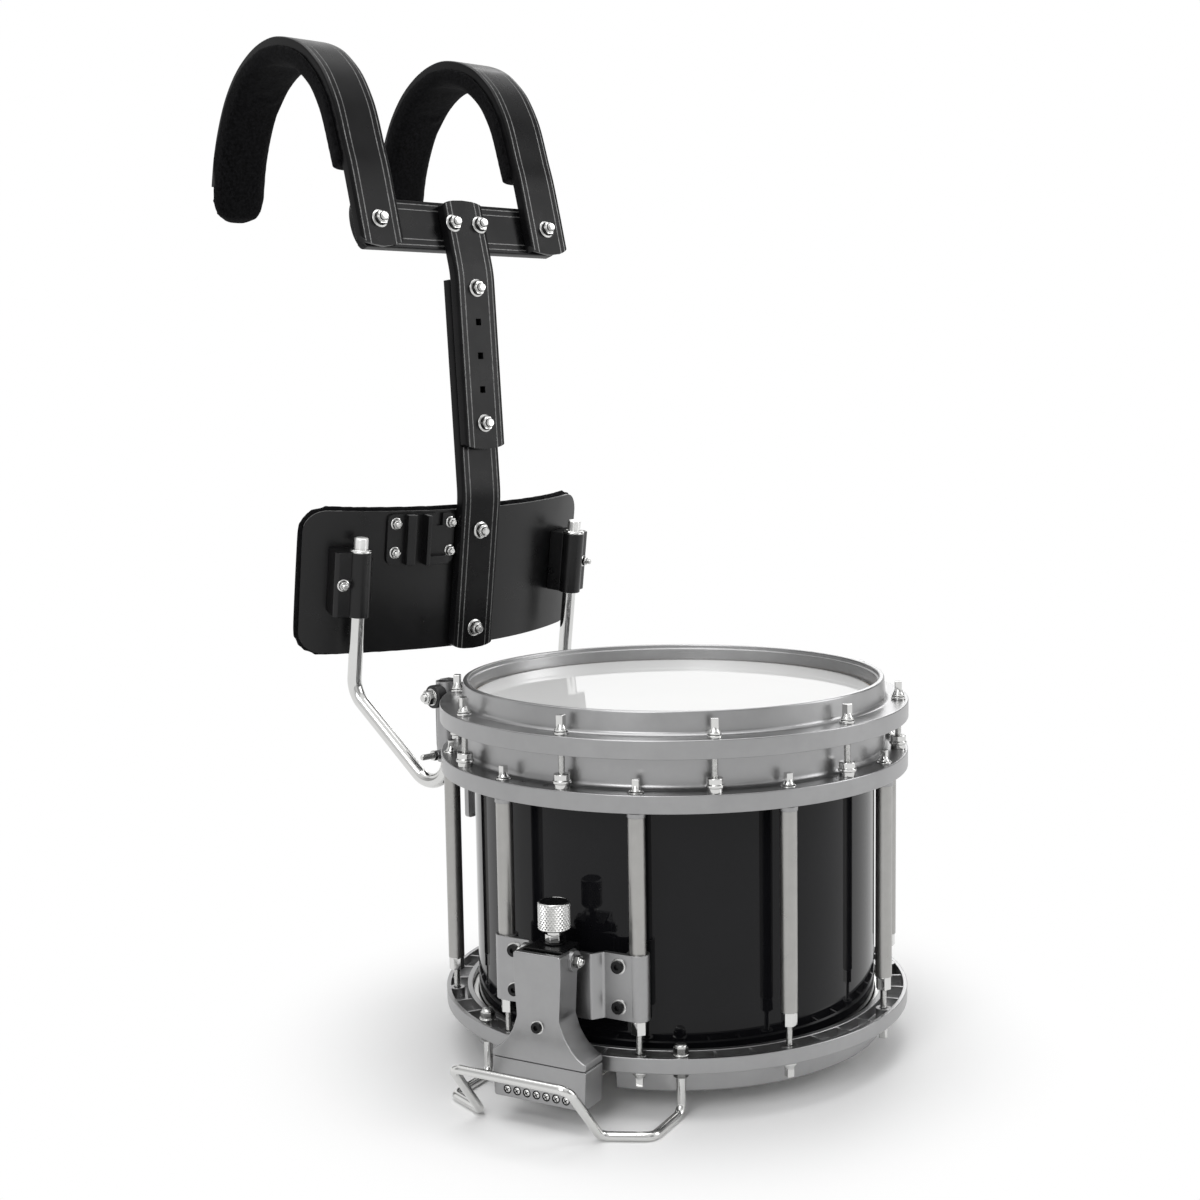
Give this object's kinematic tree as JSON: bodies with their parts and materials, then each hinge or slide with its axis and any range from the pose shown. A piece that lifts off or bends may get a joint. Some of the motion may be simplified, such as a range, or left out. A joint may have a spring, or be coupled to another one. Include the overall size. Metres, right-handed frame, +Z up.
{
  "type": "marching snare drum on shoulder carrier",
  "caption": "High-tension marching snare drum with cast hoops, lug tubes, strainer and wire bails, hooked on a black shoulder carrier with belly plate and padded straps.",
  "frame": {"origin": "centre of the bounding box's bottom face, on the floor that the wire bails stand on", "axes": "+Z up along the drum's axis; the player stands on +Y and wears the carrier; the drum's front looks along -Y; +X to the viewer's right seen from the front"},
  "size_m": [0.5716, 0.7276, 0.9103],
  "materials": {
    "shell": "gloss black lacquer",
    "head": "smooth white film",
    "casting": "satin grey",
    "tube": "satin grey",
    "chrome": "polished",
    "wire": "bright wire",
    "carrier": "satin black",
    "pad": "matt black cloth over foam"
  },
  "bodies": {
    "drum": {"shell": "shell", "batter_head": "head", "snare_head": "head", "batter_hoop": "casting", "frame_ring": "casting", "snare_hoop": "casting", "snare_strands": "wire", "batter_rod_01": "chrome", "batter_rod_02": "chrome", "batter_rod_03": "chrome", "batter_rod_04": "chrome", "batter_rod_05": "chrome", "batter_rod_06": "chrome", "batter_rod_07": "chrome", "batter_rod_08": "chrome", "batter_rod_09": "chrome", "batter_rod_10": "chrome", "lug_tube_01": "tube", "lug_tube_02": "tube", "lug_tube_03": "tube", "lug_tube_04": "tube", "lug_tube_05": "tube", "lug_tube_06": "tube", "lug_tube_07": "tube", "lug_tube_08": "tube", "lug_tube_09": "tube", "lug_tube_10": "tube", "snare_rod_01": "chrome", "snare_rod_02": "chrome", "snare_rod_03": "chrome", "snare_rod_04": "chrome", "snare_rod_05": "chrome", "snare_rod_06": "chrome", "snare_rod_07": "chrome", "snare_rod_08": "chrome", "snare_rod_09": "chrome", "snare_rod_10": "chrome", "strainer_mount": "casting", "strainer_bail": "chrome", "butt_bail": "chrome", "butt_plate": "casting", "drum_bracket_left": "casting", "drum_bracket_right": "casting"},
    "throw_arm": {"throw_arm": "casting"},
    "strand_block": {"strand_block": "casting"},
    "tension_knob": {"tension_knob": "chrome"},
    "j_rods": {"j_rod_left": "chrome", "j_rod_right": "chrome"},
    "harness": {"spine_lower": "carrier", "belly_plate": "carrier", "belly_pad": "pad", "j_rod_block_left": "carrier", "j_rod_block_right": "carrier", "accessory_bracket": "carrier"},
    "upper_frame": {"spine_upper": "carrier", "crossbar": "carrier"},
    "shoulder_left": {"shoulder_strap_left": "carrier", "shoulder_pad_left": "pad"},
    "shoulder_right": {"shoulder_strap_right": "carrier", "shoulder_pad_right": "pad"}
  },
  "joints": [
    {"name": "throw_lever", "type": "hinge", "parent": "drum", "child": "throw_arm", "pos_m": [-0.20828, -0.22776, 0.13126], "axis": [-0.309, 0.9511, 0], "range_deg": [0, 16]},
    {"name": "knob_turn", "type": "hinge", "parent": "drum", "child": "tension_knob", "pos_m": [-0.20067, -0.22528, 0.15126], "axis": [0, 0, 1], "range_deg": [0, 1440]},
    {"name": "strand_tension", "type": "slide", "parent": "throw_arm", "child": "strand_block", "axis": [0, 0, -1], "range_m": [0, 0.004]},
    {"name": "rod_lift_out", "type": "slide", "parent": "drum", "child": "j_rods", "axis": [0, 0, -1], "range_m": [0, 0.07]},
    {"name": "plate_height", "type": "slide", "parent": "j_rods", "child": "harness", "axis": [0, -0.1374, 0.9905], "range_m": [-0.04, 0.014]},
    {"name": "spine_height", "type": "slide", "parent": "harness", "child": "upper_frame", "axis": [0, 0.0615, 0.9981], "range_m": [0, 0.0644]},
    {"name": "strap_left_swivel", "type": "hinge", "parent": "upper_frame", "child": "shoulder_left", "pos_m": [-0.102, 0.11095, 0.73026], "axis": [0, -0.9673, 0.2534], "range_deg": [-12, 12]},
    {"name": "strap_right_swivel", "type": "hinge", "parent": "upper_frame", "child": "shoulder_right", "pos_m": [0.102, 0.11095, 0.73026], "axis": [0, -0.9673, 0.2534], "range_deg": [-12, 12]}
  ],
  "couplings": [
    {"joint": "knob_turn", "follows": "strand_tension", "rad_per_m": 6283.2}
  ]
}
